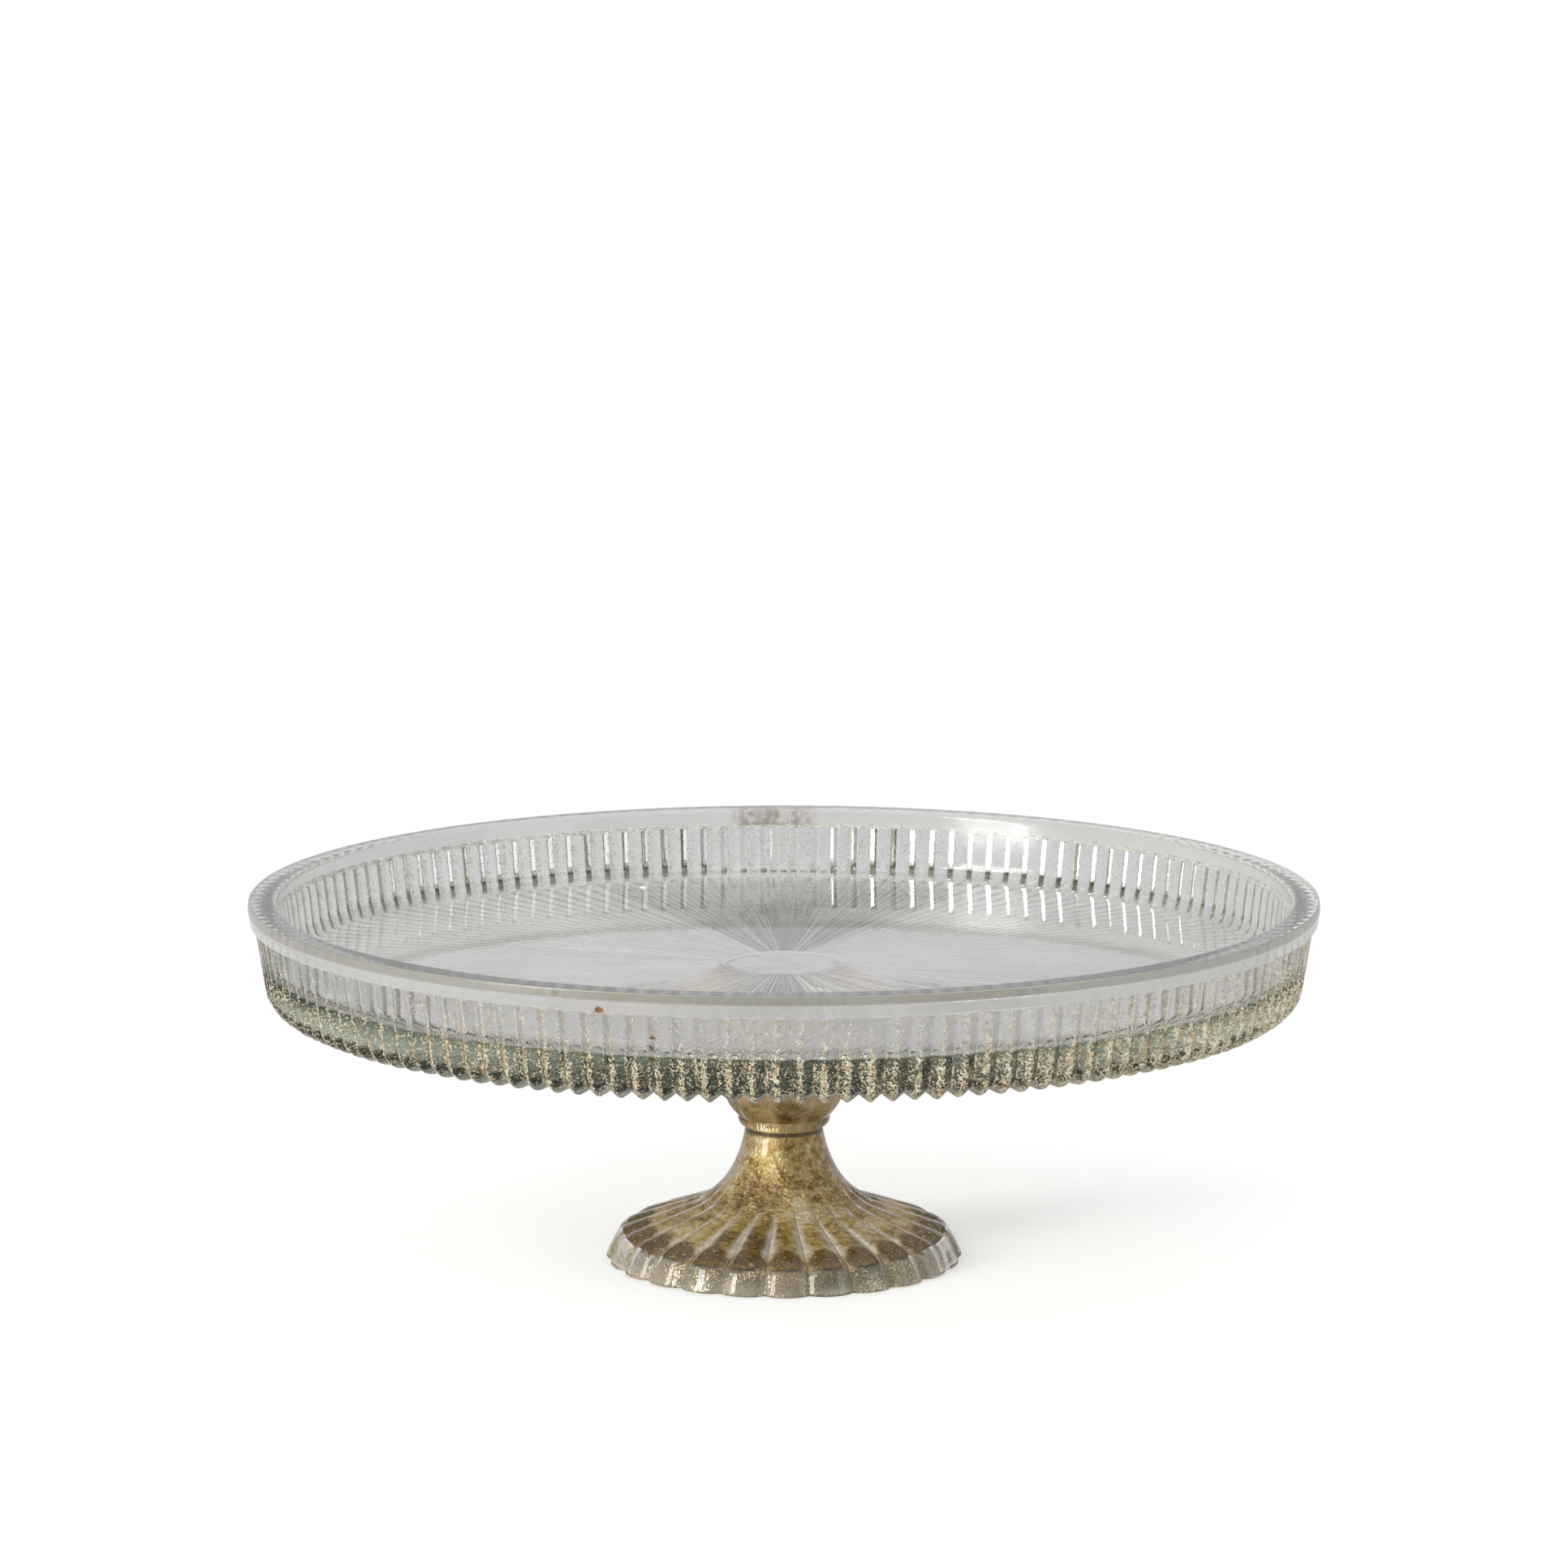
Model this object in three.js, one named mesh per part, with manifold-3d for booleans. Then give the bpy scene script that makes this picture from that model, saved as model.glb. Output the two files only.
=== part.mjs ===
// A pressed-glass cake stand: a round plate with a raised rim, glued onto a hollow gilded pedestal.
// Millimetres, +Z up. The origin is on the ground under the middle of the foot, and -Y is the front.

import * as THREE from 'three';
import { mergeVertices } from 'three/addons/utils/BufferGeometryUtils.js';
import Module from 'manifold-3d';

const wasm = await Module();
wasm.setup();

// ---- Driving dimensions ----

const HEIGHT = 111.5; // ground to the top of the rim
const PLATE_RADIUS = 160; // the widest line of the rim

// Plate
const RIM_DEPTH = 19.8; // rim top down to the floor that carries the cake
const PLATE_DEPTH = 32.2; // rim top down to the lowest edge of the ribs
const LIP_WIDTH = 7; // flat ring on top of the rim
const LIP_EDGE = 0.2; // how far the top edge stands back from the widest line
const LIP_DROP = 2.5; // rim top down to the widest line
const LIP_BEVEL = 1.9; // slope between the lip and the inner wall
const BAND_DROP = 6.1; // rim top down to the foot of the plain band
const BAND_INSET = 0.6; // how far the foot of the plain band stands back from the widest line
const WALL_INNER_RADIUS = 151.3; // inner wall, at the bevel
const WALL_FOOT_RADIUS = 149.7; // inner wall, where it meets the fillet
const FLOOR_FILLET = 4.5; // round between the inner wall and the floor
const RIB_COUNT = 148;
const RIB_DEPTH = 2.3; // crest to valley, on the wall and under the edge
const RIB_VALLEY_ANGLE = 0.65; // degrees from the front to the first valley
const RIB_TOP_RADIUS = 158.2; // rib crests just below the band
const RIB_TOP_DROP = 6.8;
const CORNER_RADIUS = 7.4; // round that takes the ribs under the plate
const CORNER_CENTRE_RADIUS = 147.8;
const WALL_LEAN = 0.163; // outer wall, radius per unit of height
const BOSS_RADIUS = 19; // flat disc under the middle of the plate
const BOSS_Z = 81;
const SUNBURST_RADIUS = 20; // where the ribs under the plate end
const VALLEY_Z = HEIGHT - PLATE_DEPTH + RIB_DEPTH; // valleys of the ribs under the plate

// Pedestal
const BOND_THICKNESS = 0.4;
const BOND_RADIUS = 17;
const PEDESTAL_HEIGHT = BOSS_Z - BOND_THICKNESS;
const PEDESTAL_TOP_RADIUS = 18.4;
const FOOT_LOBES = 24;
const FOOT_SINK = 2.3; // crest to crease at the scalloped rim of the foot
const LOBE_SHARE = 0.052; // crest to crease on the dome, per unit of radius
const LOBE_START = 17; // radius on the trumpet where the lobes begin
const LOBE_FADE = 9; // how much further out they are at full depth
const HOLLOW_SHARE = 0.8; // the hollow's lobes are shallower than the outside's
const FOOT_CREASE_ANGLE = 8.5; // degrees from the front to the first crease
const CUP_LOBES = 8;
const CUP_SINK = 2;
const CUP_TURN = 20; // degrees from a foot crease to a cup crease
const FOOT_RADIUS = 53.6;
const FOOT_INNER_RADIUS = 51.2; // the hollow's mouth on the ground
const NECK_RADIUS = 11.8;
const NECK_Z = 39.5; // top of the neck, under the collar
const CUP_LOW_Z = 44; // top of the collar, where the cup begins
const GLASS = 3.2; // thickness of the neck's wall

// Gilding
const GILDING_THICKNESS = 0.3;
const GILDING_GAP = 0.1; // between the two solids; the real layer is bonded to the glass
const GILDING_BOTTOM = 7; // the foot's rim stays clear below this height

// How finely each round shape is divided
const PLATE_COLUMNS = 2 * RIB_COUNT; // one column on each crest and one in each valley
const TRAY_COLUMNS = 74;
const PEDESTAL_COLUMNS = 3 * FOOT_LOBES; // one column in each crease and two on each lobe
const BOND_COLUMNS = 48;

// ---- Surfaces of revolution ----

// One ring of a turned surface. Between its lobes it sinks by (sinkR, sinkZ).
function ring(r, z, sinkR = 0, sinkZ = 0, lobes = 1, turn = 0) {
  return { r, z, sinkR, sinkZ, lobes, turn };
}

// Share of a ring's sink: 0 on a crest and 1 in a valley. Phase 0 is a valley and phase 0.5 is a crest.
const sharpRib = (phase) => Math.abs(1 - 2 * phase);
const roundLobe = (phase) => (1 - Math.sin(Math.PI * phase)) ** 1.5;

// A closed surface through rings that run from the axis at the bottom, out, up and back to the axis.
function turned(rings, columns, shape = roundLobe, startAngle = 0) {
  const outline = rings.map((p) => new THREE.Vector2(p.r, p.z));
  const geometry = new THREE.LatheGeometry(outline, columns, startAngle);
  const position = geometry.attributes.position;
  for (let column = 0; column <= columns; column++) {
    const angle = (column % columns) * 2 * Math.PI / columns;
    rings.forEach((p, index) => {
      const turns = (angle - p.turn) * p.lobes / (2 * Math.PI);
      const share = shape(turns - Math.floor(turns + 1e-9));
      const radius = p.r + share * p.sinkR;
      position.setXYZ(
        column * rings.length + index,
        radius * Math.sin(angle + startAngle),
        p.z + share * p.sinkZ,
        radius * Math.cos(angle + startAngle),
      );
    });
  }
  geometry.rotateX(Math.PI / 2);
  geometry.deleteAttribute('normal');
  geometry.deleteAttribute('uv');
  return mergeVertices(geometry, 1e-4);
}

// Points on a circular arc in the outline plane. Angles are in degrees, with 0 pointing outwards and 90 up.
function arc(centreR, centreZ, radius, from, to, count) {
  return Array.from({ length: count }, (_, i) => {
    const angle = THREE.MathUtils.degToRad(from + (to - from) * i / (count - 1));
    return new THREE.Vector2(centreR + radius * Math.cos(angle), centreZ + radius * Math.sin(angle));
  });
}

// ---- Solids ----

function toSolid(geometry) {
  return new wasm.Manifold(new wasm.Mesh({
    numProp: 3,
    vertProperties: Float32Array.from(geometry.attributes.position.array),
    triVerts: Uint32Array.from(geometry.index.array),
  }));
}

function toGeometry(solid) {
  const mesh = solid.getMesh();
  const geometry = new THREE.BufferGeometry();
  geometry.setAttribute('position', new THREE.BufferAttribute(mesh.vertProperties, 3));
  geometry.setIndex(new THREE.BufferAttribute(mesh.triVerts, 1));
  geometry.computeVertexNormals();
  return geometry;
}

function named(name, geometry, material) {
  const mesh = new THREE.Mesh(geometry, new THREE.MeshStandardMaterial(material));
  mesh.name = name;
  return mesh;
}

// ---- Plate ----

// The outside of the plate: boss, sunburst, corner, ribbed wall, plain band and rim.
function plateOuterRings() {
  const cornerZ = HEIGHT - PLATE_DEPTH + CORNER_RADIUS;
  const wallAngle = -THREE.MathUtils.radToDeg(Math.atan(WALL_LEAN));
  const innerRib = RIB_DEPTH * SUNBURST_RADIUS / CORNER_CENTRE_RADIUS;
  const corner = arc(CORNER_CENTRE_RADIUS, cornerZ, CORNER_RADIUS, -90, wallAngle, 3).map((p) => {
    const inwards = new THREE.Vector2(CORNER_CENTRE_RADIUS, cornerZ).sub(p).setLength(RIB_DEPTH);
    return ring(p.x, p.y, inwards.x, inwards.y, RIB_COUNT);
  });
  return [
    ring(0, BOSS_Z),
    ring(BOSS_RADIUS, BOSS_Z),
    ring(SUNBURST_RADIUS, VALLEY_Z - innerRib, 0, innerRib, RIB_COUNT),
    ...corner,
    ring(RIB_TOP_RADIUS, HEIGHT - RIB_TOP_DROP, -RIB_DEPTH, 0, RIB_COUNT),
    ring(PLATE_RADIUS - BAND_INSET, HEIGHT - BAND_DROP),
    ring(PLATE_RADIUS, HEIGHT - LIP_DROP),
    ring(PLATE_RADIUS - LIP_EDGE, HEIGHT),
    ring(0, HEIGHT),
  ];
}

// The space inside the rim, from the floor to a little above the lip.
function trayRings() {
  const above = 1;
  const lipInner = PLATE_RADIUS - LIP_EDGE - LIP_WIDTH;
  const bevelDrop = lipInner - WALL_INNER_RADIUS;
  const floorZ = HEIGHT - RIM_DEPTH;
  const fillet = arc(WALL_FOOT_RADIUS - FLOOR_FILLET, floorZ + FLOOR_FILLET, FLOOR_FILLET, -90, 0, 3);
  const wall = new THREE.QuadraticBezierCurve(
    new THREE.Vector2(WALL_FOOT_RADIUS, floorZ + FLOOR_FILLET),
    new THREE.Vector2(150.2, HEIGHT - 8),
    new THREE.Vector2(WALL_INNER_RADIUS, HEIGHT - LIP_BEVEL),
  ).getPoints(2).slice(1);
  return [
    ring(0, floorZ),
    ...[...fillet, ...wall].map((p) => ring(p.x, p.y)),
    ring(lipInner + above * bevelDrop / LIP_BEVEL, HEIGHT + above),
    ring(0, HEIGHT + above),
  ];
}

function plate() {
  const valley = THREE.MathUtils.degToRad(RIB_VALLEY_ANGLE);
  const outside = toSolid(turned(plateOuterRings(), PLATE_COLUMNS, sharpRib, valley));
  const tray = toSolid(turned(trayRings(), TRAY_COLUMNS));
  return toGeometry(outside.subtract(tray));
}

// ---- Pedestal ----

// The dome's even slope runs from DOME_EDGE up to DOME_TOP, where the trumpet begins.
const SHOULDER = new THREE.Vector2(50.9, 6.8); // top of the foot's steep rim
const DOME_EDGE = new THREE.Vector2(45.3, 10.6);
const DOME_TOP = new THREE.Vector2(28.3, 16.5);

// Crest line of the foot and neck, from the ground to the crease under the collar.
function footCrests() {
  const shoulder = new THREE.QuadraticBezierCurve(SHOULDER, new THREE.Vector2(49.8, 9.1), DOME_EDGE);
  const trumpet = new THREE.CubicBezierCurve(
    DOME_TOP,
    new THREE.Vector2(18.9, 19.9),
    new THREE.Vector2(13.5, 29),
    new THREE.Vector2(NECK_RADIUS, NECK_Z),
  );
  return [
    new THREE.Vector2(FOOT_RADIUS, 0),
    ...shoulder.getPoints(2),
    ...trumpet.getPoints(5),
  ];
}

// Lobes begin on the trumpet and deepen with the radius, up to the scallops of the rim.
function footSink(radius) {
  const fade = THREE.MathUtils.smoothstep(radius, LOBE_START, LOBE_START + LOBE_FADE);
  return fade * Math.min(FOOT_SINK, LOBE_SHARE * radius);
}

// Rings through the crests of the foot. They sink square to the wall, and level on the ground.
function lobedRings(crests, share) {
  return crests.map((p, i) => {
    const along = crests[Math.min(i + 1, crests.length - 1)].clone().sub(crests[Math.max(i - 1, 0)]);
    const sink = share * footSink(p.x);
    const inwards = new THREE.Vector2(-along.y, along.x).setLength(sink);
    const onGround = i === 0;
    return ring(p.x, p.y, onGround ? -sink : inwards.x, onGround ? 0 : inwards.y, FOOT_LOBES);
  });
}

// The collar is a small bead that flares out of the top of the neck.
function collarRings() {
  return [ring(12.1, 40.8), ring(13.4, 42), ring(13.6, 43.6)];
}

// Rings through the crests of the cup, which sink between its eight lobes.
function cupRings(crests, share) {
  const turn = THREE.MathUtils.degToRad(CUP_TURN);
  return crests.map((p) => {
    const swell = THREE.MathUtils.clamp((p.y - CUP_LOW_Z + 1) / (PEDESTAL_HEIGHT - CUP_LOW_Z), 0, 1);
    const sink = share * CUP_SINK * Math.sqrt(Math.sin(Math.PI * swell));
    return ring(p.x, p.y, -sink, 0, CUP_LOBES, turn);
  });
}

// The cup swells out of the collar and ends in the round top that is glued to the plate.
function pedestalOuterRings() {
  const cup = new THREE.CubicBezierCurve(
    new THREE.Vector2(14.1, CUP_LOW_Z),
    new THREE.Vector2(21, 50),
    new THREE.Vector2(21.5, 66),
    new THREE.Vector2(PEDESTAL_TOP_RADIUS + 0.6, PEDESTAL_HEIGHT - 3),
  ).getPoints(5);
  return [
    ring(0, 0),
    ...lobedRings(footCrests(), 1),
    ...collarRings(),
    ...cupRings(cup, 1),
    ring(PEDESTAL_TOP_RADIUS, PEDESTAL_HEIGHT),
    ring(0, PEDESTAL_HEIGHT),
  ];
}

const HOLLOW_TOP = 71; // inside of the cup's closed top
const HOLLOW_TOP_RADIUS = 15;

// Wall of the hollow, from the ground up to the inside of the cup's closed top.
// It follows the lobes of the foot and of the cup, with the smooth neck between them.
function hollowWall() {
  const foot = new THREE.CubicBezierCurve(
    new THREE.Vector2(FOOT_INNER_RADIUS, 0),
    new THREE.Vector2(49.6, 4.7),
    new THREE.Vector2(49, 7.5),
    new THREE.Vector2(44.4, 8.5),
  );
  const trumpet = new THREE.CubicBezierCurve(
    new THREE.Vector2(27.3, 14.3),
    new THREE.Vector2(16.4, 18),
    new THREE.Vector2(10.4, 27),
    new THREE.Vector2(NECK_RADIUS - GLASS, NECK_Z),
  );
  const cup = new THREE.CubicBezierCurve(
    new THREE.Vector2(9.3, CUP_LOW_Z),
    new THREE.Vector2(12, 45.4),
    new THREE.Vector2(20.3, 52),
    new THREE.Vector2(16.8, 69),
  );
  return [
    ...lobedRings([...foot.getPoints(3), ...trumpet.getPoints(4)], HOLLOW_SHARE),
    ...cupRings(cup.getPoints(4), HOLLOW_SHARE),
  ];
}

function hollowRings() {
  const below = 1;
  const wall = hollowWall();
  return [
    ring(0, -below),
    { ...wall[0], z: -below },
    ...wall,
    ring(HOLLOW_TOP_RADIUS, HOLLOW_TOP),
    ring(0, HOLLOW_TOP),
  ];
}

const FOOT_CREASE = THREE.MathUtils.degToRad(FOOT_CREASE_ANGLE);

function pedestal() {
  const outside = toSolid(turned(pedestalOuterRings(), PEDESTAL_COLUMNS, roundLobe, FOOT_CREASE));
  const hollow = toSolid(turned(hollowRings(), PEDESTAL_COLUMNS, roundLobe, FOOT_CREASE));
  return toGeometry(outside.subtract(hollow));
}

// ---- Gilding ----

// The hollow's rings above the clear rim, moved away from the glass by the given distance.
function liningRings(inset) {
  const wall = [...hollowWall(), ring(HOLLOW_TOP_RADIUS, HOLLOW_TOP)];
  const lowest = wall.findIndex((p) => p.z > GILDING_BOTTOM - 1);
  const kept = wall.slice(lowest);
  return kept.map((p, i) => {
    const before = kept[Math.max(i - 1, 0)];
    const after = kept[Math.min(i + 1, kept.length - 1)];
    const inwards = new THREE.Vector2(before.z - after.z, after.r - before.r).setLength(inset);
    return { ...p, r: p.r + inwards.x, z: p.z + inwards.y };
  });
}

// A thin skin with its open mouth at the bottom and a closed crown at the top.
function gilding() {
  const outer = liningRings(GILDING_GAP);
  const inner = liningRings(GILDING_GAP + GILDING_THICKNESS).reverse();
  const crown = HOLLOW_TOP - GILDING_GAP;
  const rings = [
    ring(0, crown - GILDING_THICKNESS),
    ...inner.map((p) => ({ ...p, z: Math.min(p.z, crown - GILDING_THICKNESS) })),
    ...outer.map((p) => ({ ...p, z: Math.min(p.z, crown) })),
    ring(0, crown),
  ];
  return turned(rings, PEDESTAL_COLUMNS, roundLobe, FOOT_CREASE);
}

// ---- Bond ----

function bond() {
  const rings = [
    ring(0, PEDESTAL_HEIGHT),
    ring(BOND_RADIUS, PEDESTAL_HEIGHT),
    ring(BOND_RADIUS, BOSS_Z),
    ring(0, BOSS_Z),
  ];
  return turned(rings, BOND_COLUMNS);
}

// ---- Assembly ----

const stand = new THREE.Group();
stand.add(
  named('plate', plate(), { color: 0xd4d6d4, roughness: 0.06, metalness: 0 }),
  named('pedestal', pedestal(), { color: 0xd0ccc0, roughness: 0.06, metalness: 0 }),
  named('pedestal_gilding', gilding(), { color: 0xb8924a, roughness: 0.35, metalness: 1 }),
  named('bond', bond(), { color: 0xe4e2da, roughness: 0.2, metalness: 0 }),
);

export default stand;
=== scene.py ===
"""Looks of a pressed-glass cake stand with a gilded foot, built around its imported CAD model."""

import math
from types import SimpleNamespace

import bpy
import numpy as np
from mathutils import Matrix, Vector


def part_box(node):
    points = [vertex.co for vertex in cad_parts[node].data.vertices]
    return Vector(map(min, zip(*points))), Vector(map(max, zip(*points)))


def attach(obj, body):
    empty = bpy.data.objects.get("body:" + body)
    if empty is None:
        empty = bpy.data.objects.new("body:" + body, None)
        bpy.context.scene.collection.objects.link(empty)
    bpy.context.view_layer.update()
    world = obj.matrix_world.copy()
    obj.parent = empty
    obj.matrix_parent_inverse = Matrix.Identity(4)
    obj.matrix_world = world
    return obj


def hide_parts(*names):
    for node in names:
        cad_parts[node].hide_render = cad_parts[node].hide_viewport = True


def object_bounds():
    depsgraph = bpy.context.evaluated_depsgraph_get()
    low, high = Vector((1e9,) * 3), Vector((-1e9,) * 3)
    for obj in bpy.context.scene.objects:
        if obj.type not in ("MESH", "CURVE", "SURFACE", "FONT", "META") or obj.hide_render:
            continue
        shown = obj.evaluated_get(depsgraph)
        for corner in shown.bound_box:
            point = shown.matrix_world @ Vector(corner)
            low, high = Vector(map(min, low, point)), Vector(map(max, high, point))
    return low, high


MM = 0.001

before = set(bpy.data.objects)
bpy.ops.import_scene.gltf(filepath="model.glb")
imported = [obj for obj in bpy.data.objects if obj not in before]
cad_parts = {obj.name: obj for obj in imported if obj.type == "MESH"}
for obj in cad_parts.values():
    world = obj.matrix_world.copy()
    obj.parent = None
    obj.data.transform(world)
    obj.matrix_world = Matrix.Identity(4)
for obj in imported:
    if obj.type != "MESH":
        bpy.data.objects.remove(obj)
cad_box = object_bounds()

# ---------------------------------------------------------------- sizes, in millimetres, from the frame


def corners(node):
    """The lowest and highest corner of a CAD node, in millimetres."""
    low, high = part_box(node)
    return low / MM, high / MM


PLATE_LOW, PLATE_HIGH = corners("plate")
PEDESTAL_HIGH = corners("pedestal")[1]
GILDING_LOW, GILDING_HIGH = corners("pedestal_gilding")
BOND_LOW, BOND_HIGH = corners("bond")

RIM_Z = PLATE_HIGH.z
PLATE_RADIUS = PLATE_HIGH.x
RIB_CREST_Z = PLATE_LOW.z
BOSS_Z = BOND_HIGH.z
BOSS_RADIUS = 18.9

RECESS_DEPTH = 19.8
FLOOR_Z = RIM_Z - RECESS_DEPTH
FLOOR_FILLET = 4.5
WALL_INNER = 151.3  # radius at the top of the recess
WALL_FOOT = 149.7  # radius where the recess's wall meets its fillet
LIP_WIDTH = 7.0
LIP_DROP = 2.5  # from the rim's top down to its widest line
LIP_INSET = 0.2  # from the widest line in to the rolled edge
EDGE_ROLL = 0.5

RIB_COUNT = 148
RIB_DEPTH = 2.3
RIB_DEPTH_VARIATION = 0.08
RIB_VALLEY_ANGLE = math.radians(0.65)
RIB_TOP = (158.2, RIM_Z - 6.8)
SUNBURST_START = 20.0
CORNER_RADIUS = 7.4
CORNER_CENTRE = (147.8, RIB_CREST_Z + CORNER_RADIUS)
WALL_LEAN = 0.163

SPECK_STRETCH = 1.5  # rust specks are this much wider than they are tall
# Rust specks on the outside: degrees from the front towards the right, height and size
RUST_SPECKS = (
    (-18.6, 106.0, 1.0),
    (-13.4, 98.6, 0.75),
    (-13.6, 95.6, 0.55),
)

FOOT_RADIUS = PEDESTAL_HIGH.x + 0.15  # the CAD has no column on a lobe's crest, so its box is narrower
FOOT_INNER_RADIUS = 51.2
FOOT_LOBES = 24
FOOT_CREASE = math.radians(8.5)
FOOT_SINK = 2.3
FOOT_LEVEL = 7.0  # towards the ground from here, the outside's lobes sink level
HOLLOW_LEVEL = 5.0  # and the hollow's from here
LOBE_SHARE = 0.052
LOBE_START = 17.0
LOBE_FADE = 9.0
HOLLOW_SHARE = 0.8
CREASE_TIGHTNESS = 1.5  # 1 gives round lobes that meet in a cusp, and more makes the creases narrower
COLUMNS_PER_LOBE = 12

NECK_RADIUS = 11.8
NECK_Z = 39.5
GLASS = 3.2
SEAMS = (math.radians(28), math.radians(208))
SEAM_HEIGHT = 0.16
SEAM_REACH = 12  # the seams show where the foot is less than this much wider than the neck

CUP_LOBES = 8
CUP_SINK = 2.0
CUP_LOW = 44.0
CUP_CREASE = FOOT_CREASE + math.radians(20)
PEDESTAL_TOP_RADIUS = 18.4

HOLLOW_TOP = GILDING_HIGH.z + 0.1
CONTACT = 0.04  # how far the gilding and the adhesive reach into the glass they are bonded to
GILDING_THICKNESS = 0.3
GILDING_START = GILDING_LOW.z + 1.6  # on the crests of the lobes; it is lower in the creases
CREASE_LIFT = 0.15


# ---------------------------------------------------------------- outlines

def bezier(points, count):
    """count points along a Bezier curve of any degree."""
    p = np.array(points, float)
    t = np.linspace(0, 1, count)[:, None]
    n = len(p) - 1
    return sum(math.comb(n, k) * (1 - t) ** (n - k) * t**k * p[k] for k in range(n + 1))


def arc(centre, radius, start, end, count):
    """Points on a circular arc, with angles in degrees: 0 is outwards and 90 is up."""
    a = np.radians(np.linspace(start, end, count))
    return np.stack([centre[0] + radius * np.cos(a), centre[1] + radius * np.sin(a)], 1)


def line(start, end, count):
    return np.linspace(start, end, count)


def inward_normals(outline):
    """Unit vectors to the left of the way that an outline runs, which is inwards where it runs up."""
    along = np.gradient(outline, axis=0)
    normal = np.stack([-along[:, 1], along[:, 0]], 1)
    return normal / np.maximum(np.linalg.norm(normal, axis=1, keepdims=True), 1e-9)


# ---------------------------------------------------------------- surfaces of revolution

def revolve(name, outline, angles, sink):
    """A closed mesh through an outline that starts and ends on the axis.

    sink moves each point in the plane of its outline. It is rows x columns x 2, in millimetres.
    """
    rows = outline[1:-1]
    n_rows, n_cols = len(rows), len(angles)
    place = rows[:, None, :] + sink[1:-1]
    radius, height = place[..., 0], place[..., 1]
    points = np.stack([radius * np.sin(angles), -radius * np.cos(angles), height], -1).reshape(-1, 3)
    poles = np.array([[0, 0, outline[0, 1]], [0, 0, outline[-1, 1]]])
    vertices = np.vstack([points, poles]) * MM
    i = np.arange(n_cols)
    j = (i + 1) % n_cols
    faces = []
    for row in range(n_rows - 1):
        low, high = row * n_cols, (row + 1) * n_cols
        faces += np.stack([low + i, low + j, high + j, high + i], 1).tolist()
    bottom, top = len(points), len(points) + 1
    last = (n_rows - 1) * n_cols
    faces += np.stack([np.full(n_cols, bottom), j, i], 1).tolist()
    faces += np.stack([np.full(n_cols, top), last + i, last + j], 1).tolist()
    mesh = bpy.data.meshes.new(name)
    mesh.from_pydata(vertices.tolist(), [], faces)
    mesh.validate()
    piece = bpy.data.objects.new(name, mesh)
    bpy.context.scene.collection.objects.link(piece)
    return piece


def smooth(piece, sharp_angle):
    """Smooth shading with sharp edges where faces meet at more than the given angle."""
    mesh = piece.data
    mesh.polygons.foreach_set("use_smooth", np.ones(len(mesh.polygons), bool))
    mesh.set_sharp_from_angle(angle=math.radians(sharp_angle))
    weighted = piece.modifiers.new("even_shading", "WEIGHTED_NORMAL")
    weighted.mode = "FACE_AREA"
    weighted.weight = 50
    weighted.keep_sharp = True
    return piece


# ---------------------------------------------------------------- plate

def rib_columns():
    """Angles of the plate's columns and each column's share of the rib depth: 0 on a crest, 1 in a valley."""
    half_phase = np.array([0.04, 0.10, 0.40, 0.455])
    half_share = np.array([0.93, 0.80, 0.20, 0.105])
    phase = np.concatenate([half_phase, 1 - half_phase[::-1]])
    share = np.concatenate([half_share, half_share[::-1]])
    share = (share - share.min()) / (1 - share.min())
    random = np.random.default_rng(7)
    turn = (np.arange(RIB_COUNT)[:, None] + phase[None, :]) / RIB_COUNT
    angles = turn.ravel() * 2 * math.pi + RIB_VALLEY_ANGLE
    depth = 1 - RIB_DEPTH_VARIATION * random.random(RIB_COUNT)
    shares = 1 - (1 - share)[None, :] * depth[:, None]
    return angles, shares.ravel()


def plate_underside():
    """The boss, the crest lines of the sunburst and of the corner, and the ribbed wall."""
    wall_angle = -math.degrees(math.atan(WALL_LEAN))
    boss = np.array([(0, BOSS_Z), (BOSS_RADIUS - 0.4, BOSS_Z), (BOSS_RADIUS, BOSS_Z + 0.25)])
    corner = arc(CORNER_CENTRE, CORNER_RADIUS, -90, wall_angle, 9)
    first_depth = RIB_DEPTH * SUNBURST_START / CORNER_CENTRE[0]
    first_crest = (SUNBURST_START, RIB_CREST_Z + RIB_DEPTH - first_depth)
    sunburst = line(first_crest, corner[0], 16)[:-1]
    wall = line(corner[-1], RIB_TOP, 8)[1:]
    return boss, sunburst, corner, wall


def plate_rim():
    """The plain band above the ribs, the rolled edge, the flat lip and its soft inner edge."""
    foot_radius, foot_z = PLATE_RADIUS - 0.6, RIM_Z - 6.1
    widest_z = RIM_Z - LIP_DROP
    band = np.array([
        (foot_radius, foot_z),
        (foot_radius + 0.12, foot_z + 0.3),
        (PLATE_RADIUS - 0.25, widest_z - 0.5),
        (PLATE_RADIUS - 0.12, widest_z - 0.12),
        (PLATE_RADIUS, widest_z),
        (PLATE_RADIUS - 0.02, widest_z + 0.4),
    ])
    edge_radius = PLATE_RADIUS - LIP_INSET
    edge = arc((edge_radius - EDGE_ROLL, RIM_Z - EDGE_ROLL), EDGE_ROLL, 0, 90, 4)
    lip_inner = edge_radius - LIP_WIDTH
    lip = line((PLATE_RADIUS - 2, RIM_Z), (lip_inner + 0.5, RIM_Z), 3)
    bevel = bezier([(lip_inner + 0.3, RIM_Z), (lip_inner - 0.6, RIM_Z - 0.1),
                    (WALL_INNER + 0.2, RIM_Z - 0.8), (WALL_INNER + 0.05, RIM_Z - 1.9)], 6)
    return band, edge, lip, bevel


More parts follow.
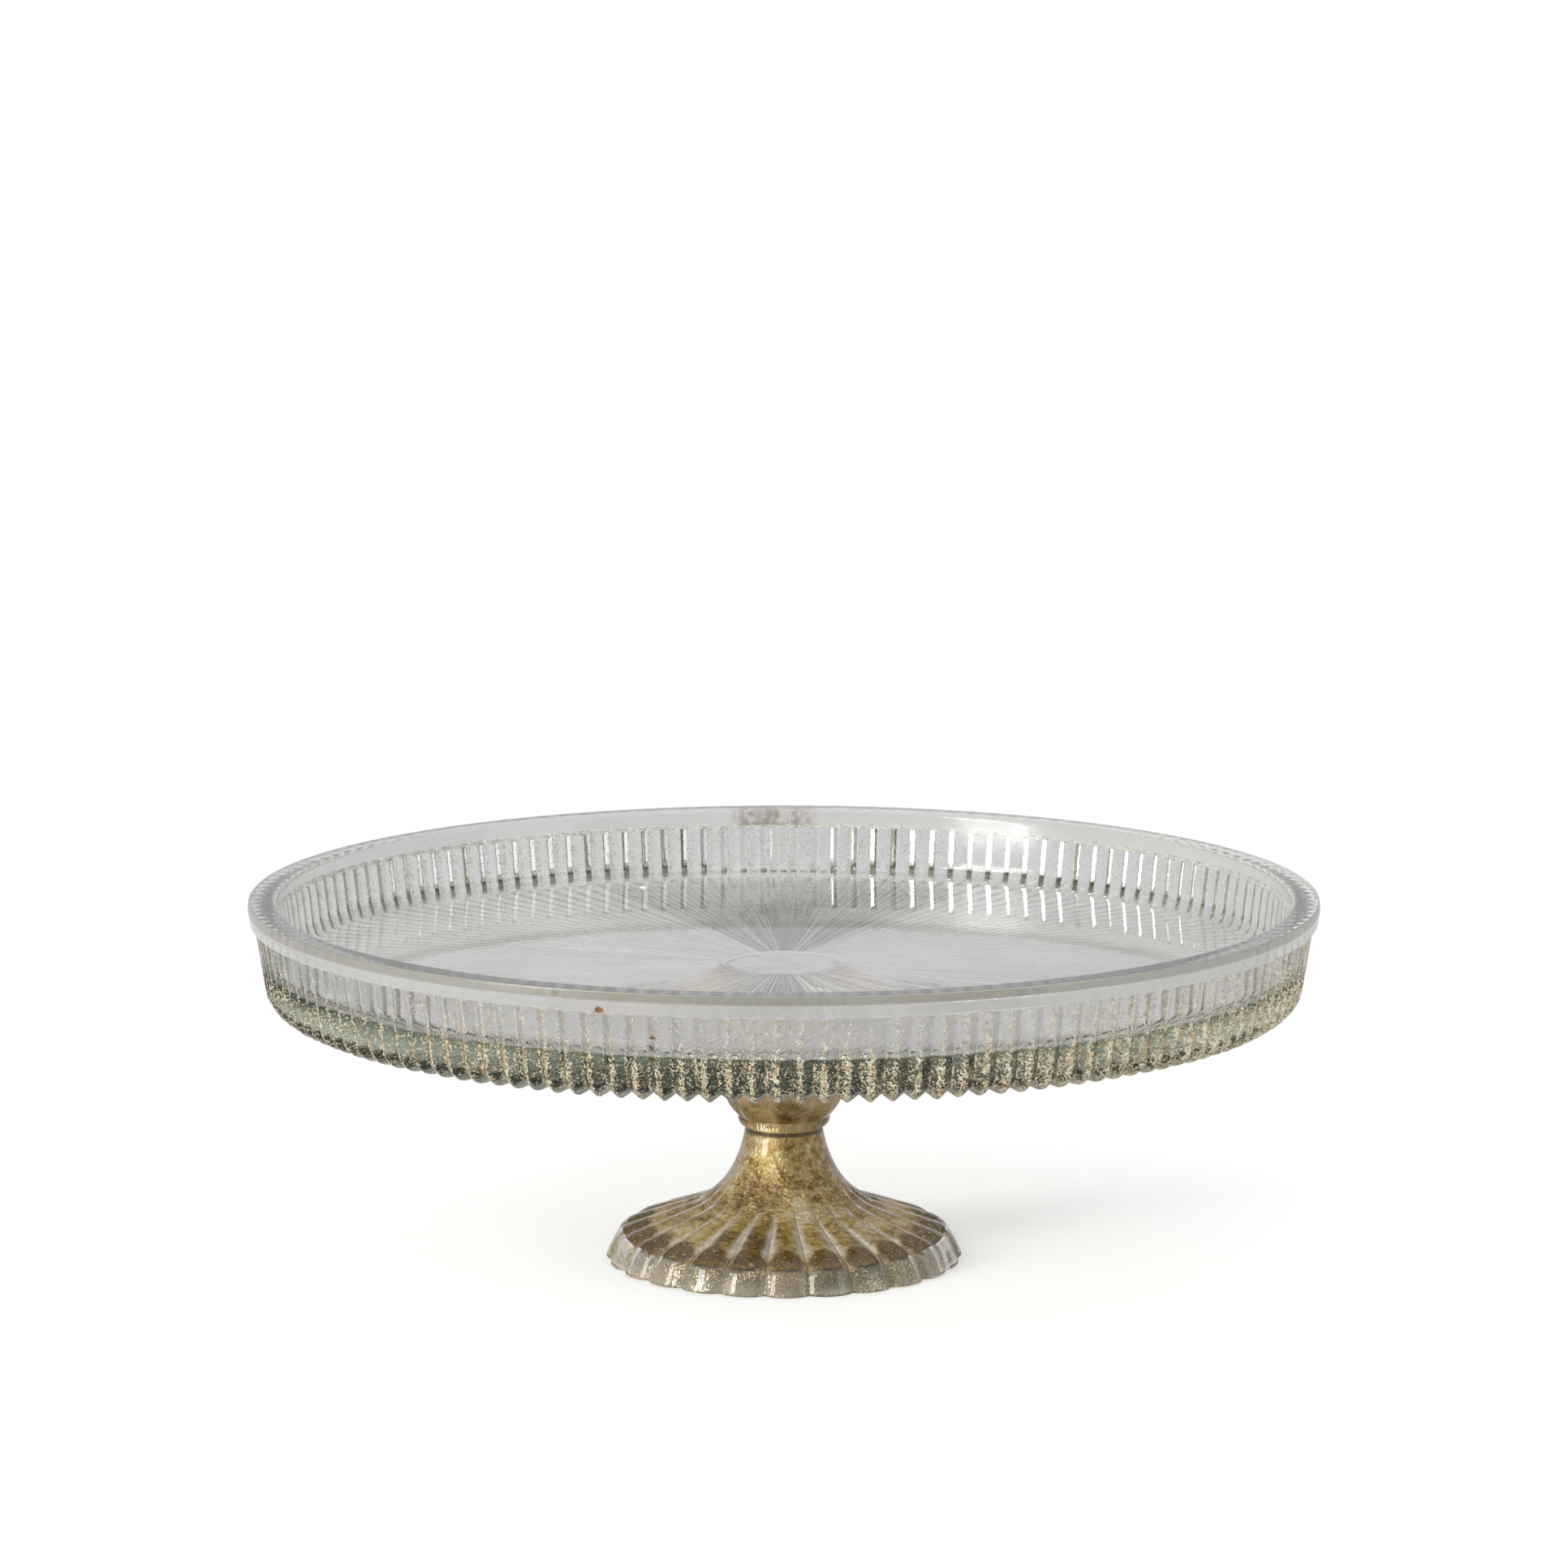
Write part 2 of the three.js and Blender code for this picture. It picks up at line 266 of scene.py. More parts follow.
def plate_inside():
    """The wall of the recess, its fillet and the floor, back to the axis."""
    fillet_radius, fillet_z = WALL_FOOT - FLOOR_FILLET, FLOOR_Z + FLOOR_FILLET
    wall = bezier([(WALL_INNER, RIM_Z - 2.2), (150.2, RIM_Z - 8), (WALL_FOOT, fillet_z + 0.3)], 8)
    fillet = arc((fillet_radius, fillet_z), FLOOR_FILLET, 0, -90, 8)
    floor = line((fillet_radius - 2, FLOOR_Z), (6, FLOOR_Z), 8)
    return wall, fillet, floor, np.array([(0, FLOOR_Z)])


def plate_outline():
    """The plate's outline along a rib's crest, and the way from there to the bottom of a valley."""
    boss, sunburst, corner, wall = plate_underside()
    plain = np.vstack([*plate_rim(), *plate_inside()])
    to_centre = np.array(CORNER_CENTRE) - corner
    sinks = [
        np.zeros_like(boss),
        sunburst[:, :1] / CORNER_CENTRE[0] * [[0, RIB_DEPTH]],
        to_centre / np.linalg.norm(to_centre, axis=1, keepdims=True) * RIB_DEPTH,
        np.tile((-RIB_DEPTH, 0), (len(wall), 1)),
        np.zeros_like(plain),
    ]
    return np.vstack([boss, sunburst, corner, wall, plain]), np.vstack(sinks)


def make_plate():
    angles, shares = rib_columns()
    outline, sink = plate_outline()
    piece = revolve("plate_glass", outline, angles, sink[:, None, :] * shares[None, :, None])
    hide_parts("plate")
    return smooth(piece, 50)


# ---------------------------------------------------------------- pedestal

def even_columns(count, start=0.0):
    return start + np.arange(count) * 2 * math.pi / count


def pedestal_columns():
    return even_columns(FOOT_LOBES * COLUMNS_PER_LOBE, FOOT_CREASE)


def foot_outline():
    """The foot's crest line from its rounded bottom edge to the top of the neck."""
    rim_top = (50.9, 6.8)
    slope_top = (45.3, 10.6)
    slope_end = (28.3, 16.5)
    bottom_edge = np.array([(FOOT_RADIUS - 0.35, 0.12), (FOOT_RADIUS - 0.05, 0.5)])
    rim = line((FOOT_RADIUS, 0.9), rim_top, 7)
    shoulder = bezier([rim_top, (49.8, 9.1), slope_top], 8)[1:]
    slope = line(slope_top, slope_end, 10)[1:]
    trumpet = bezier([slope_end, (18.9, 19.9), (13.5, 29), (NECK_RADIUS, NECK_Z)], 28)[1:]
    return np.vstack([bottom_edge, rim, shoulder, slope, trumpet])


def collar_outline():
    """A narrow groove above the neck, and a bead."""
    groove = np.array([(NECK_RADIUS + 0.05, NECK_Z + 0.4), (NECK_RADIUS + 0.05, NECK_Z + 0.9)])
    bead = bezier([(NECK_RADIUS + 0.15, NECK_Z + 1.1), (13.6, NECK_Z + 1.3),
                   (14.2, CUP_LOW - 0.9), (13.6, CUP_LOW - 0.5)], 9)
    return np.vstack([groove, bead])


def round_lobe(angles, lobes, crease):
    """Share of the sink at each angle: 0 on a lobe's crest and 1 in the crease between two lobes."""
    return (1 - np.abs(np.sin((angles - crease) * lobes / 2))) ** CREASE_TIGHTNESS


def foot_lobe_sink(outline, angles, level_below, share=1.0):
    """How far each point of the foot sinks between its lobes: inwards, and level near the ground."""
    radius, height = outline[:, 0], outline[:, 1]
    fade = np.clip((radius - LOBE_START) / LOBE_FADE, 0, 1)
    eased = fade * fade * (3 - 2 * fade)
    depth = share * np.minimum(FOOT_SINK, LOBE_SHARE * radius) * eased
    level = np.clip((level_below - height) / 2, 0, 1)[:, None]
    inwards = inward_normals(outline) * (1 - level) + np.array([-1.0, 0.0]) * level
    lobes = round_lobe(angles, FOOT_LOBES, FOOT_CREASE)
    return (inwards * depth[:, None])[:, None, :] * lobes[None, :, None]


def cup_lobe_sink(outline, angles, share=1.0):
    """How far each point of the cup sinks between its lobes."""
    swell = np.clip((outline[:, 1] - CUP_LOW) / (PEDESTAL_HIGH.z - CUP_LOW), 0, 1)
    depth = share * CUP_SINK * np.sin(np.pi * swell) ** 0.5
    sink = np.zeros((len(outline), len(angles), 2))
    sink[..., 0] = -depth[:, None] * round_lobe(angles, CUP_LOBES, CUP_CREASE)[None, :]
    return sink


def pedestal_outside(angles):
    """The outside from the foot's bottom edge to the flat top, and its sink between the lobes."""
    foot, collar = foot_outline(), collar_outline()
    top, width = PEDESTAL_HIGH.z, PEDESTAL_TOP_RADIUS
    cup = bezier([(13.9, CUP_LOW), (21, 50), (21.5, 66), (width + 0.6, top - 3)], 26)
    shoulder = bezier([(width + 0.5, top - 2), (width + 0.4, top), (width - 0.6, top)], 5)
    outline = np.vstack([foot, collar, cup, shoulder])
    sink = np.zeros((len(outline), len(angles), 2))
    sink[:len(foot)] = foot_lobe_sink(foot, angles, FOOT_LEVEL)
    cup_row = len(foot) + len(collar)
    sink[cup_row:cup_row + len(cup)] = cup_lobe_sink(cup, angles)
    # Two mould seams stand out on the neck.
    on_neck = outline[:cup_row, 0] < NECK_RADIUS + SEAM_REACH
    for seam in SEAMS:
        column = int(round((seam - angles[0]) / (angles[1] - angles[0]))) % len(angles)
        sink[:cup_row, column, 0] += SEAM_HEIGHT * on_neck
    return outline, sink


def hollow_foot():
    """The hollow's crest line from the ground to the neck."""
    slope_top = (44.4, 8.5)
    slope_end = (27.3, 14.3)
    foot = bezier([(FOOT_INNER_RADIUS - 0.05, 0.2), (49.6, 4.7), (49.0, 7.5), slope_top], 16)
    slope = line(slope_top, slope_end, 9)[1:]
    trumpet = bezier([slope_end, (16.4, 18.0), (10.4, 27), (NECK_RADIUS - GLASS, NECK_Z)], 24)[1:]
    return np.vstack([foot, slope, trumpet])


def hollow_cup():
    """The hollow from the neck up to its closed crown."""
    neck = line((NECK_RADIUS - GLASS, NECK_Z), (9.2, CUP_LOW - 0.5), 5)[1:]
    cup = bezier([(9.3, CUP_LOW), (12, 45.4), (20.3, 52), (16.8, 69)], 20)
    crown = bezier([(16.4, 69.6), (16, HOLLOW_TOP), (12, HOLLOW_TOP)], 6)
    return np.vstack([neck, cup, crown])


def hollow_wall(angles):
    """The whole wall of the hollow, from the ground up, and its sink between the lobes."""
    foot, cup = hollow_foot(), hollow_cup()
    foot_sink = foot_lobe_sink(foot, angles, HOLLOW_LEVEL, HOLLOW_SHARE)
    cup_sink = cup_lobe_sink(cup, angles, HOLLOW_SHARE)
    return np.vstack([foot, cup]), np.concatenate([foot_sink, cup_sink])


def make_pedestal():
    angles = pedestal_columns()
    outer, outer_sink = pedestal_outside(angles)
    wall, wall_sink = hollow_wall(angles)
    # The outline runs down the hollow, out under the rim, up the outside and back to the axis.
    crown, top = (0, HOLLOW_TOP), (0, PEDESTAL_HIGH.z)
    ground_in, ground_out = (wall[0, 0] + 0.25, 0), (FOOT_RADIUS - 0.8, 0)
    outline = np.vstack([[crown], wall[::-1], [ground_in, ground_out], outer, [top]])
    flat = np.zeros((1, len(angles), 2))
    sink = np.concatenate([flat, wall_sink[::-1], wall_sink[:1], outer_sink[:1], outer_sink, flat])
    piece = revolve("pedestal_glass", outline, angles, sink)
    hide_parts("pedestal")
    return smooth(piece, 40)


# ---------------------------------------------------------------- gilding and bond

def make_gilding():
    angles = pedestal_columns()
    wall, sink = hollow_wall(angles)
    kept = wall[:, 1] >= GILDING_START
    wall, sink = wall[kept], sink[kept]
    normal = inward_normals(wall)
    outside = wall - normal * CONTACT
    inside = wall + normal * (GILDING_THICKNESS - CONTACT)
    top = HOLLOW_TOP + CONTACT
    under = top - GILDING_THICKNESS
    inside[:, 1] = np.minimum(inside[:, 1], under)
    # The layer lifts off the glass along the creases of the foot, which leaves bare silvery lines.
    crest = np.abs(np.sin((angles - FOOT_CREASE) * FOOT_LOBES / 2))
    lift = CREASE_LIFT * np.clip(2.6 - 4 * crest, 0, 1)
    lift_start, lift_fade = LOBE_START + 4, 4
    on_foot = np.clip((wall[:, 0] - lift_start) / lift_fade, 0, 1) * (wall[:, 1] < NECK_Z)
    sink = sink + (normal * on_foot[:, None])[:, None, :] * lift[None, :, None]
    outline = np.vstack([[(0, under)], inside[::-1], outside, [(0, top)]])
    flat = np.zeros((1, len(angles), 2))
    piece = revolve("gilding", outline, angles, np.concatenate([flat, sink[::-1], sink, flat]))
    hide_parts("pedestal_gilding")
    return smooth(piece, 40)


def make_bond():
    angles = even_columns(96)
    radius = BOND_HIGH.x - 0.6
    ragged = 0.4 * np.sin(3 * angles + 1) + 0.28 * np.sin(7 * angles)
    low, high = BOND_LOW.z - CONTACT, BOND_HIGH.z + CONTACT
    waist = (radius - 0.55, (low + high) / 2)
    outline = np.array([(0, low), (radius - 0.8, low), waist, (radius - 0.8, high), (0, high)])
    sink = np.zeros((len(outline), len(angles), 2))
    sink[1:-1, :, 0] = ragged[None, :]
    piece = revolve("adhesive", outline, angles, sink)
    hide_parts("bond")
    return smooth(piece, 40)


# ---------------------------------------------------------------- material helpers

class Graph:
    """A short way to write the nodes of a material or a world."""

    def __init__(self, owner):
        owner.use_nodes = True
        self.owner = owner
        self.tree = owner.node_tree
        self.tree.nodes.clear()

    def node(self, kind, inputs=None, **settings):
        made = self.tree.nodes.new(kind)
        for key, value in settings.items():
            setattr(made, key, value)
        for key, value in (inputs or {}).items():
            self.put(made.inputs[key], value)
        return made

    def put(self, socket, value):
        if hasattr(value, "links"):
            self.tree.links.new(value, socket)
        else:
            socket.default_value = value

    def math(self, operation, a, b=0.0):
        return self.node("ShaderNodeMath", {0: a, 1: b}, operation=operation).outputs[0]

    def product(self, value, *factors):
        for factor in factors:
            value = self.math("MULTIPLY", value, factor)
        return value

    def total(self, value, *terms):
        for term in terms:
            value = self.math("ADD", value, term)
        return value

    def inverse(self, value):
        return self.math("SUBTRACT", 1.0, value)

    def away(self, value, centre):
        """How far a value is from a centre."""
        return self.math("ABSOLUTE", self.math("SUBTRACT", value, centre))

    def length(self, a, b):
        return self.math("SQRT", self.total(self.product(a, a), self.product(b, b)))

    def span(self, value, low, high, to_low=0.0, to_high=1.0):
        """Maps low..high to to_low..to_high, and stays level beyond both."""
        made = self.node("ShaderNodeMapRange", {"Value": value, "From Min": low, "From Max": high,
                                                "To Min": to_low, "To Max": to_high})
        made.clamp = True
        return made.outputs[0]

    def span_mm(self, value, low, high, to_low=0.0, to_high=1.0):
        """The same for a length, with low and high in millimetres."""
        return self.span(value, low * MM, high * MM, to_low, to_high)

    def noise(self, vector, scale, detail=2.0, roughness=0.5, distortion=0.0):
        made = self.node("ShaderNodeTexNoise", {"Vector": vector, "Scale": scale, "Detail": detail,
                                                "Roughness": roughness, "Distortion": distortion})
        return made.outputs["Fac"]

    def wobble(self, amount, vector, scale, detail=2.0, roughness=0.5):
        """Noise about zero."""
        centred = self.math("SUBTRACT", self.noise(vector, scale, detail, roughness), 0.5)
        return self.product(centred, amount)

    def ramp(self, value, stops):
        made = self.node("ShaderNodeValToRGB", {"Fac": value})
        elements = made.color_ramp.elements
        while len(elements) < len(stops):
            elements.new(0.5)
        for element, (place, colour) in zip(elements, stops):
            element.position = place
            element.color = colour
        return made.outputs["Color"]

    def mix(self, factor, a, b):
        made = self.node("ShaderNodeMix", data_type="RGBA")
        self.put(made.inputs["Factor"], factor)
        self.put(made.inputs["A"], a)
        self.put(made.inputs["B"], b)
        return made.outputs["Result"]

    def mix_shader(self, factor, a, b):
        return self.node("ShaderNodeMixShader", {0: factor, 1: a, 2: b}).outputs[0]

    def principled(self, colour, roughness, **more):
        """A Principled surface. An underscore stands for a space in the names of further inputs."""
        inputs = {"Base Color": colour, "Roughness": roughness}
        for name, value in more.items():
            inputs[name.replace("_", " ")] = value
        return self.node("ShaderNodeBsdfPrincipled", inputs).outputs[0]

    def bump(self, height, strength, distance):
        inputs = {"Height": height, "Strength": strength, "Distance": distance}
        return self.node("ShaderNodeBump", inputs).outputs[0]

    def surface(self, shader, volume=None):
        made = self.node("ShaderNodeOutputMaterial", {"Surface": shader})
        if volume is not None:
            self.put(made.inputs["Volume"], volume)
        return self.owner


def new_material(name):
    return Graph(bpy.data.materials.new(name))


def rgb(red, green, blue):
    return (red, green, blue, 1)


def grey(value):
    return (value, value, value, 1)


def locate(g):
    """Where a shaded point is: its place, its angle from the front towards the right, and its radius."""
    place = g.node("ShaderNodeTexCoord").outputs["Object"]
    x, y, z = g.node("ShaderNodeSeparateXYZ", {0: place}).outputs
    angle = g.math("ARCTAN2", x, g.product(y, -1.0))
    return SimpleNamespace(place=place, x=x, y=y, z=z, angle=angle, radius=g.length(x, y))


def clear_glass(g, colour, roughness, ripple, shadow_tint):
    """Pressed glass. Lamps shine through it, so that what is behind the glass is lit."""
    glass = g.principled(colour, roughness, IOR=1.5, Transmission_Weight=1.0, Normal=ripple)
    clear = g.node("ShaderNodeBsdfTransparent", {"Color": shadow_tint}).outputs[0]
    shadow = g.node("ShaderNodeLightPath").outputs["Is Shadow Ray"]
    return g.mix_shader(shadow, glass, clear)


def tinted_depth(g, colour, density):
    """Colour that deepens with the thickness of glass that is looked through."""
    return g.node("ShaderNodeVolumeAbsorption", {"Color": colour, "Density": density}).outputs[0]


# ---------------------------------------------------------------- the plate's material

def plate_zones(g, at):
    """Masks of the plate's regions, each 1 inside its region and 0 outside."""
    wall = g.span_mm(at.radius, WALL_INNER + 1.1, WALL_INNER + 1.9)
    below_lip = g.span_mm(at.z, RIM_Z - 2.2, RIM_Z - 2.8)
    band = g.product(g.span_mm(at.z, RIM_Z - 6.4, RIM_Z - 6.2), below_lip)
    under = g.span_mm(at.z, FLOOR_Z - 1.0, FLOOR_Z - 2.0)
    outside = g.math("MAXIMUM", g.product(wall, below_lip), under)
    inner_wall = g.product(g.span_mm(at.radius, WALL_FOOT - 1.2, WALL_FOOT + 0.3),
                           g.span_mm(at.radius, WALL_INNER + 0.7, WALL_INNER + 0.1))
    floor = g.inverse(g.span_mm(at.radius, WALL_FOOT - 2.7, WALL_FOOT + 0.3))
    return SimpleNamespace(
        wall=wall, band=band, under=under, outside=outside, inner_wall=inner_wall, floor=floor)


def flake_cover(g, at):
    """Where gold flakes sit: drifts of grains under a millimetre across, densest low on the ribs. More flakes
    on the side of each rib towards the window are painted light; fewer low on the other side are painted
    shade.
    """
    grain = g.noise(at.place, 1450, 3, 0.75)
    drift = g.wobble(0.20, at.place, 160, 3, 0.6)
    patch = g.wobble(0.14, at.place, 25, 3, 0.6)
    turn = g.math("SUBTRACT", at.angle, RIB_VALLEY_ANGLE)
    rib = g.math("FRACT", g.product(turn, RIB_COUNT / (2 * math.pi)))
    # Painted light: more gold flakes on the side of each rib that faces the window, so that side shows
    # lighter.
    painted_lit_side = g.span(g.away(rib, 0.42), 0.20, 0.08, 0.0, 0.075)
    valley = g.span(g.away(rib, 0.5), 0.40, 0.49, 0.0, 0.05)
    # Painted shade: fewer flakes low on the side of each rib turned away from the window, so that side shows
    # darker.
    painted_shaded_side = g.span(g.away(rib, 0.75), 0.25, 0.12, 0.0, -0.035)
    low = g.span_mm(at.z, FLOOR_Z + 2.0, FLOOR_Z - 0.5)
    height = g.total(g.span(low, 0, 1, -0.065, 0.0), g.product(low, painted_shaded_side))
    bare_band = g.span_mm(at.z, RIM_Z - 6.6, RIM_Z - 6.0, 0.0, -0.12)
    inwards = g.span_mm(at.radius, 146, 128, 0.0, -0.09)
    level = g.total(grain, drift, patch, painted_lit_side, valley, height, bare_band, inwards)
    return g.span(level, 0.53, 0.555)


def plate_flakes(g, at, zones, behind):
    """Where gold flakes show, and their metal. From inside the glass only some show, as a khaki veil."""
    cover = g.product(flake_cover(g, at), zones.outside, g.inverse(g.product(behind, 0.5)))
    gold = g.ramp(g.noise(at.place, 700, 2), [
        (0.3, rgb(0.40, 0.31, 0.17)),
        (0.48, rgb(0.74, 0.63, 0.42)),
        (0.64, rgb(0.97, 0.90, 0.72)),
    ])
    tone = g.mix(behind, gold, rgb(0.42, 0.375, 0.25))
    glint = g.bump(g.noise(at.place, 2200, 1), 0.5, 0.0002)
    return cover, g.principled(tone, 0.38, Metallic=0.5, Normal=glint)


def plate_frost(g, at, zones, behind):
    """Where the glass is whitish: on the band, under the middle and on the worn floor."""
    # The plain band is faintly frosted, with a ragged white line where the ribs begin.
    ragged_z = g.total(at.z, g.wobble(0.0012, at.place, 420, 3))
    ledge = g.span_mm(g.away(ragged_z, (RIM_Z - 6.5) * MM), 0.40, 0.14, 0.0, 0.85)
    band = g.product(g.math("MAXIMUM", ledge, g.product(zones.band, 0.22)), zones.wall)
    # White streaks fan out from the middle of the underside.
    spoke = g.node("ShaderNodeCombineXYZ", {"X": g.math("DIVIDE", at.x, at.radius),
                                            "Y": g.math("DIVIDE", at.y, at.radius)}).outputs[0]
    streak = g.span(g.noise(spoke, 30, 3, 0.75), 0.50, 0.62)
    streak = g.product(streak, g.span_mm(at.radius, 100, 30), zones.under)
    # Wear leaves a thin haze on the floor of the plate, in faint clouds.
    cloud = g.span(g.noise(at.place, 30, 4, 0.65), 0.35, 0.65, 0.05, 0.15)
    haze = g.product(cloud, zones.floor, g.inverse(behind), g.inverse(zones.under))
    return g.math("MAXIMUM", g.math("MAXIMUM", band, streak), haze)


def rust_specks(g, at):
    """A few ragged spots of rust left on the outside, measured along the wall."""
    ragged = g.wobble(0.0030, at.place, 1100, 3, 0.7)
    specks = None
    for turn, height, size in RUST_SPECKS:
        turned = g.math("SUBTRACT", at.angle, math.radians(turn))
        across = g.product(turned, PLATE_RADIUS * MM / SPECK_STRETCH)
        up = g.math("SUBTRACT", at.z, height * MM)
        speck = g.span_mm(g.total(g.length(across, up), ragged), size, size - 0.25)
        specks = speck if specks is None else g.math("MAXIMUM", specks, speck)
    return specks


def plate_stains(g, at, zones):
    """Where rust specks show in front and a brown stain on the band at the back, and their rust."""
    near_back = g.product(g.span_mm(g.away(at.x, -0.003), 15, 9), g.span_mm(at.y, 100, 120))
    patches = g.span(g.noise(at.place, 240, 4, 0.7), 0.42, 0.58, 0.1, 0.75)
    stain = g.product(near_back, zones.band, zones.wall, patches)
    cover = g.math("MAXIMUM", stain, g.product(rust_specks(g, at), zones.wall))
    rust = g.ramp(g.noise(at.place, 300, 3), [(0.42, rgb(0.07, 0.02, 0.006)), (0.58, rgb(0.30, 0.15, 0.05))])
    tone = g.mix(near_back, rust, rgb(0.30, 0.235, 0.14))
    return cover, g.principled(tone, 0.7)


def plate_material():
    """Clear pressed glass, with gold flakes on the outside and underneath, and small signs of age."""
    g = new_material("flaked_glass")
    at = locate(g)
    zones = plate_zones(g, at)
    behind = g.node("ShaderNodeNewGeometry").outputs["Backfacing"]
    # The inner wall is a little worn, so its reflections are soft.
    worn = g.span(g.noise(at.place, 70, 3), 0.35, 0.65, 0.05, 0.16)
    roughness = g.total(0.03, g.product(zones.inner_wall, worn))
    ripple = g.bump(g.noise(at.place, 260, 2), 0.06, 0.0003)
    glass = clear_glass(g, rgb(0.985, 0.988, 0.985), roughness, ripple, rgb(0.9, 0.905, 0.895))
    white = g.principled(rgb(0.90, 0.885, 0.86), 0.6)
    glass = g.mix_shader(plate_frost(g, at, zones, behind), glass, white)
    # The upright edge of the lip is dull and olive.
    edge = g.product(g.span_mm(at.radius, PLATE_RADIUS - 0.9, PLATE_RADIUS - 0.5),
                     g.span_mm(at.z, RIM_Z - 2.9, RIM_Z - 2.4))
    glass = g.mix_shader(g.product(edge, 0.5), glass, g.principled(rgb(0.33, 0.32, 0.255), 0.3))
    flake_mask, flakes = plate_flakes(g, at, zones, behind)
    stain_mask, stains = plate_stains(g, at, zones)
    finish = g.mix_shader(stain_mask, g.mix_shader(flake_mask, glass, flakes), stains)
    return g.surface(finish, tinted_depth(g, rgb(0.775, 0.79, 0.755), 70))


# ---------------------------------------------------------------- the pedestal's materials

def facing_axis(g, at):
    """1 where the surface itself faces the axis, seen from either side of it."""
    geometry = g.node("ShaderNodeNewGeometry").outputs
    side = g.inverse(g.product(geometry["Backfacing"], 2.0))
    vectors = {0: geometry["True Normal"], 1: at.place}
    outwards = g.node("ShaderNodeVectorMath", vectors, operation="DOT_PRODUCT").outputs["Value"]
    return g.math("LESS_THAN", g.product(outwards, side), -0.02)


def foot_material():
    """Clear pressed glass with a faint ripple from the mould, and gold dust and flakes inside the rim."""
    g = new_material("foot_glass")
    at = locate(g)
    roughness = g.span(g.noise(at.place, 60, 3), 0.35, 0.7, 0.01, 0.04)
    ripple = g.bump(g.noise(at.place, 160, 2), 0.10, 0.0004)
    glass = clear_glass(g, rgb(0.985, 0.985, 0.98), roughness, ripple, rgb(0.92, 0.92, 0.9))
    inside_rim = g.product(facing_axis(g, at), g.span_mm(at.z, 6.6, 6.2))
    dust = g.product(inside_rim, g.span(g.noise(at.place, 70, 3), 0.40, 0.62, 0.15, 0.55))
    glass = g.mix_shader(dust, glass, g.principled(rgb(0.44, 0.36, 0.24), 0.5))
    grain = g.total(g.noise(at.place, 1700, 3, 0.7), g.product(g.noise(at.place, 90, 2), 0.3))
    flakes = g.product(g.span(grain, 0.72, 0.75), inside_rim)
    glass = g.mix_shader(flakes, glass, g.principled(rgb(0.80, 0.68, 0.42), 0.3, Metallic=0.8))
    return g.surface(glass, tinted_depth(g, rgb(0.84, 0.80, 0.71), 60))


def lobe_phase(g, at, lobes, crease):
    """0 in a crease between two lobes and 1 on a crest."""
    turned = g.product(g.math("SUBTRACT", at.angle, crease), lobes / 2)
    return g.math("ABSOLUTE", g.math("SINE", turned))


def below_neck(g, at):
    """1 on the foot, and 0 on the neck and the cup."""
    return g.span_mm(at.z, 30, 22)


def dome_gold(g, at, tone, mottle, fine):
    """Browner gold on the foot, with pale silvery stripes painted along its creases as a painted reflection.
    Also gives where those stripes are.
    """
    on_foot = below_neck(g, at)
    brown = g.ramp(mottle, [(0.42, rgb(0.12, 0.07, 0.012)), (0.60, rgb(0.58, 0.40, 0.12))])
    tone = g.mix(g.product(on_foot, g.span_mm(at.radius, 22, 32, 0.0, 0.50)), tone, brown)
    # Painted reflection: pale silvery stripes along the creases of the foot, where the creased glass reflects
    # light.
    ragged_crest = g.total(lobe_phase(g, at, FOOT_LOBES, FOOT_CREASE), g.wobble(0.5, at.place, 120, 3))
    ends = g.product(g.span_mm(at.radius, 19, 26), g.span_mm(at.radius, 43.5, 39.5))
    painted_crease_reflection = g.product(g.span(ragged_crest, 0.80, 0.50), ends, on_foot)
    reflection_silver = g.ramp(fine, [(0.35, rgb(0.50, 0.45, 0.37)), (0.6, rgb(0.84, 0.79, 0.72))])
    return g.mix(painted_crease_reflection, tone, reflection_silver), painted_crease_reflection


def cup_gold(g, at, tone, cloud):
    """Gold on the cup painted paler, as painted light against the shade of the plate above it, and left
    darker low in each of its lobes as painted shade. Also gives where it is pale.
    """
    petal = g.span(lobe_phase(g, at, CUP_LOBES, CUP_CREASE), 0.30, 0.75, 0.0, 0.75)
    ragged_z = g.total(at.z, g.product(g.noise(at.place, 140, 3), 0.010))
    painted_lobe_shade = g.product(petal, g.inverse(g.span_mm(ragged_z, 53.0, 57.5)), g.span_mm(at.z, 42.8, 43.6))
    above_neck = g.product(g.span_mm(at.z, 39.8, 40.4), g.span_mm(at.z, 43.2, 44.0, 0.20, 1.0))
    # Painted light: the cup is painted paler to lift it out of the shade of the plate above it; low on each
    # lobe it keeps the darker gold, as painted shade.
    pale = g.product(above_neck, g.inverse(painted_lobe_shade))
    cover = g.product(pale, g.span(cloud, 0.40, 0.56, 0.30, 0.80))
    return g.mix(cover, tone, rgb(1.0, 0.82, 0.50)), pale


def dark_arches(g, at, tone, fine, painted_sparkle):
    """Painted shade: dark arches where the lobes of the foot turn down, with the pale grains of painted
    sparkle left in them.
    """
    crest = lobe_phase(g, at, FOOT_LOBES, FOOT_CREASE)
    arch_shade = g.span(g.total(crest, g.span_mm(at.radius, 37.5, 43.5)), 1.25, 1.50)
    arch_shade = g.product(arch_shade, below_neck(g, at), g.math("SUBTRACT", 0.95, painted_sparkle))
    return g.mix(arch_shade, tone, g.mix(fine, rgb(0.04, 0.022, 0.002), rgb(0.30, 0.19, 0.035)))


